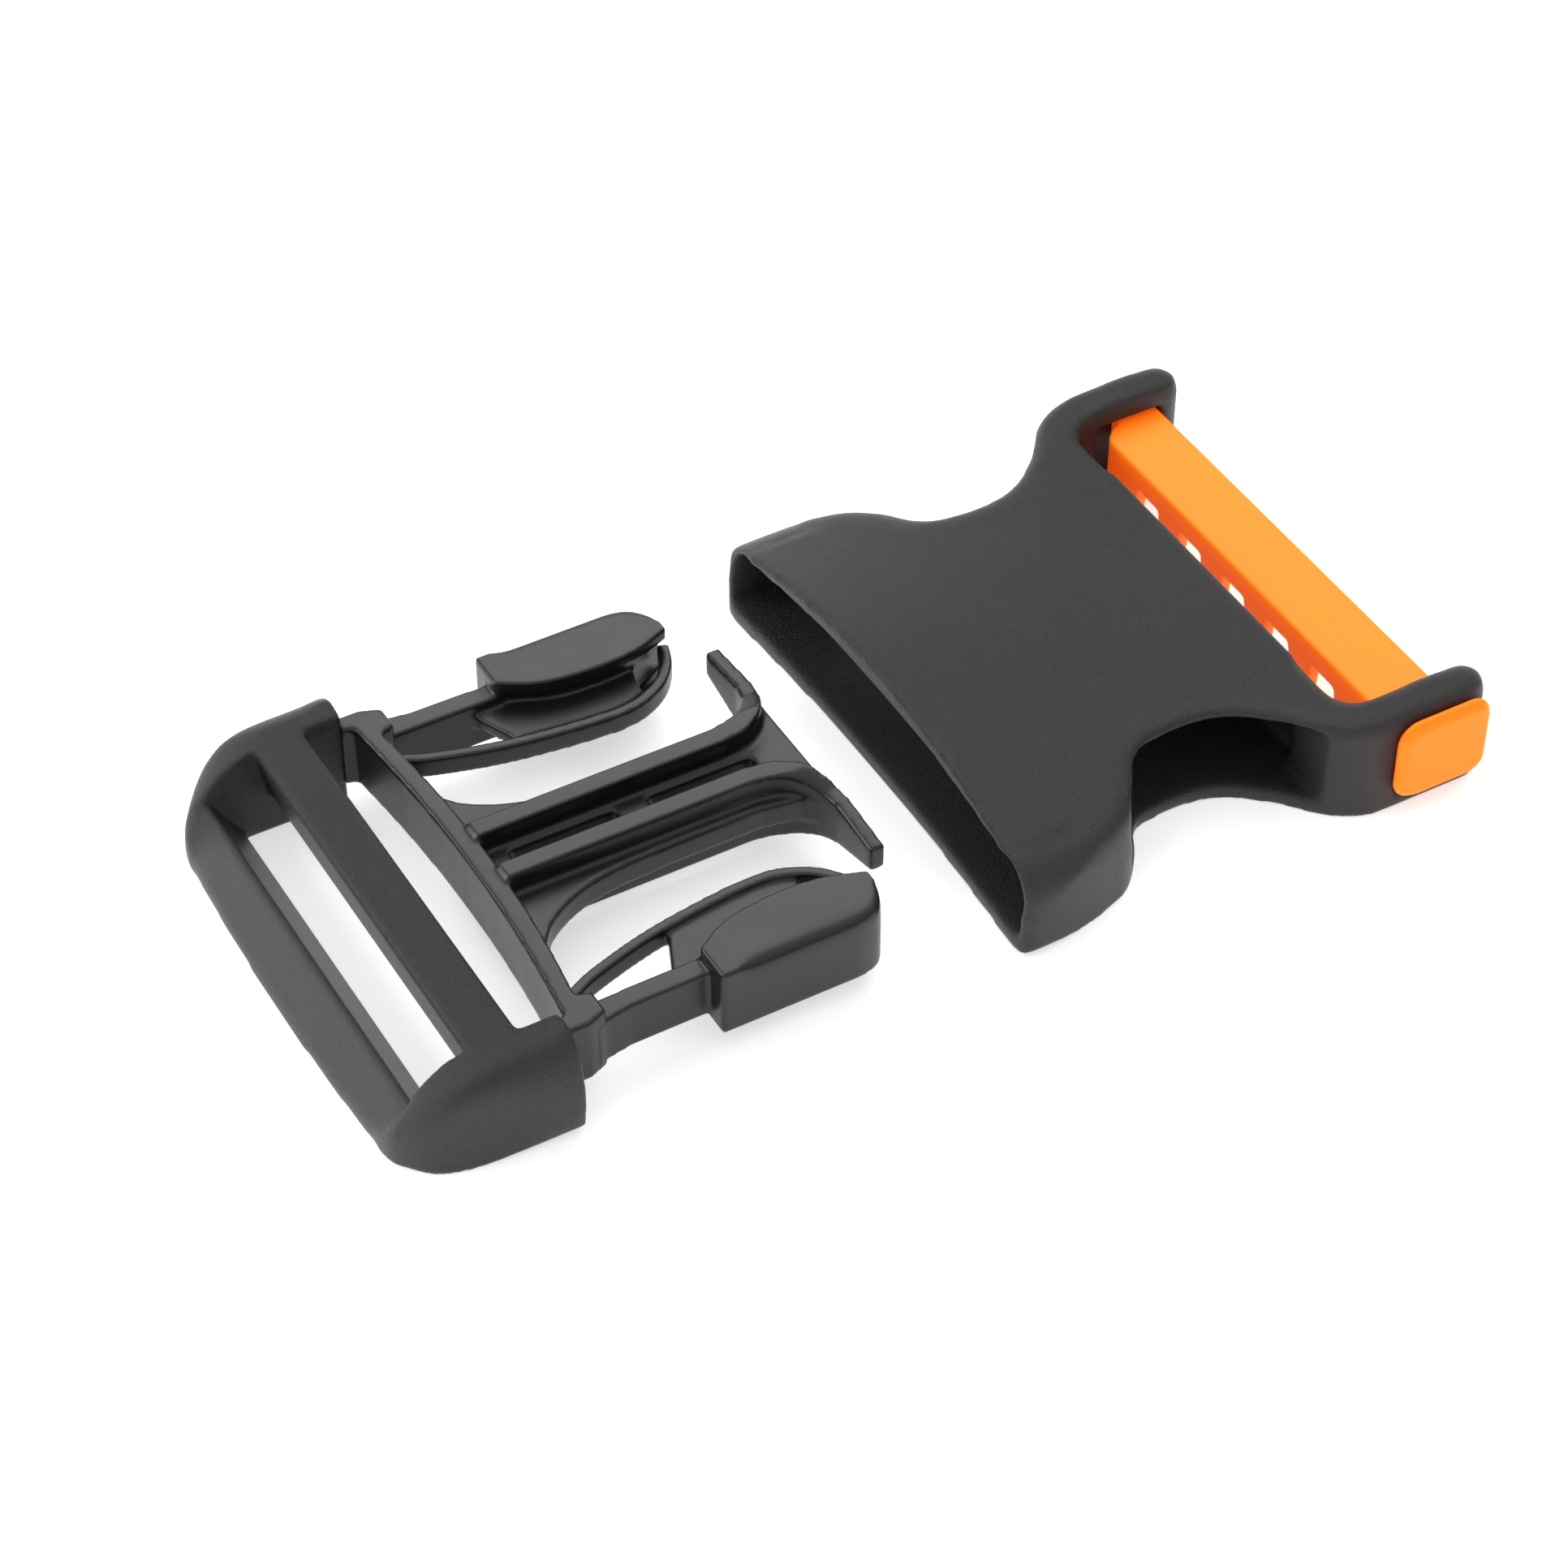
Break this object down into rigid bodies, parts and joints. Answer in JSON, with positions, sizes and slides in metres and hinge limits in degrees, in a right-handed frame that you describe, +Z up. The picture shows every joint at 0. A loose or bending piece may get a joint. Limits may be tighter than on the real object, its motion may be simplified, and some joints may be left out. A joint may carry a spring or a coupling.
{
  "type": "side-release webbing buckle with slider frame and removable bar",
  "caption": "Plastic side-release buckle for wide webbing, shown open: ladder-lock slider half with two sprung latch arms, hollow socket half with a removable coloured webbing bar.",
  "frame": {"origin": "centre of the underside of the box around the open buckle", "axes": "+X is the direction the slider half is pushed into the socket half; +Z is up out of the face the strap's outer side shows; +Y is to the left"},
  "size_m": [0.1256, 0.064, 0.0141],
  "materials": {
    "textured_black_acetal": "fine spark-eroded texture",
    "smooth_black_acetal": "smooth semi-gloss",
    "orange_acetal": "smooth satin, slightly translucent"
  },
  "bodies": {
    "female_shell": {"shell_top_plate": "textured_black_acetal", "shell_bottom_plate": "textured_black_acetal", "shell_cheek_left": "textured_black_acetal", "shell_cheek_right": "textured_black_acetal", "shell_rear_wall": "textured_black_acetal", "shell_guide_rib": "smooth_black_acetal", "bar_arm_left": "textured_black_acetal", "bar_arm_right": "textured_black_acetal"},
    "webbing_bar": {"webbing_bar": "orange_acetal"},
    "male_frame": {"front_bar": "textured_black_acetal", "centre_bar": "textured_black_acetal", "side_rail_left": "textured_black_acetal", "side_rail_right": "textured_black_acetal", "cross_wall": "smooth_black_acetal", "guide_tongue": "smooth_black_acetal"},
    "latch_arm_left": {"latch_leg_left": "smooth_black_acetal", "latch_head_left": "smooth_black_acetal", "return_strip_left": "smooth_black_acetal"},
    "latch_arm_right": {"latch_leg_right": "smooth_black_acetal", "latch_head_right": "smooth_black_acetal", "return_strip_right": "smooth_black_acetal"}
  },
  "joints": [
    {"name": "insertion", "type": "slide", "parent": "female_shell", "child": "male_frame", "axis": [1, 0, 0], "range_m": [0, 0.0484], "deforming": ["latch_leg_left", "latch_head_left", "return_strip_left", "latch_leg_right", "latch_head_right", "return_strip_right"]},
    {"name": "bar_withdrawal", "type": "slide", "parent": "female_shell", "child": "webbing_bar", "axis": [0, -1, 0], "range_m": [0, 0.062]},
    {"name": "latch_flex_left", "type": "hinge", "parent": "male_frame", "child": "latch_arm_left", "pos_m": [-0.0385, 0.02415, 0.0066], "axis": [0, 0, -1], "range_deg": [0, 13], "stiffness_Nm_per_rad": 0.6, "deforming": ["return_strip_left"]},
    {"name": "latch_flex_right", "type": "hinge", "parent": "male_frame", "child": "latch_arm_right", "pos_m": [-0.0385, -0.02265, 0.0066], "axis": [0, 0, 1], "range_deg": [0, 13], "stiffness_Nm_per_rad": 0.6, "deforming": ["return_strip_right"]}
  ]
}
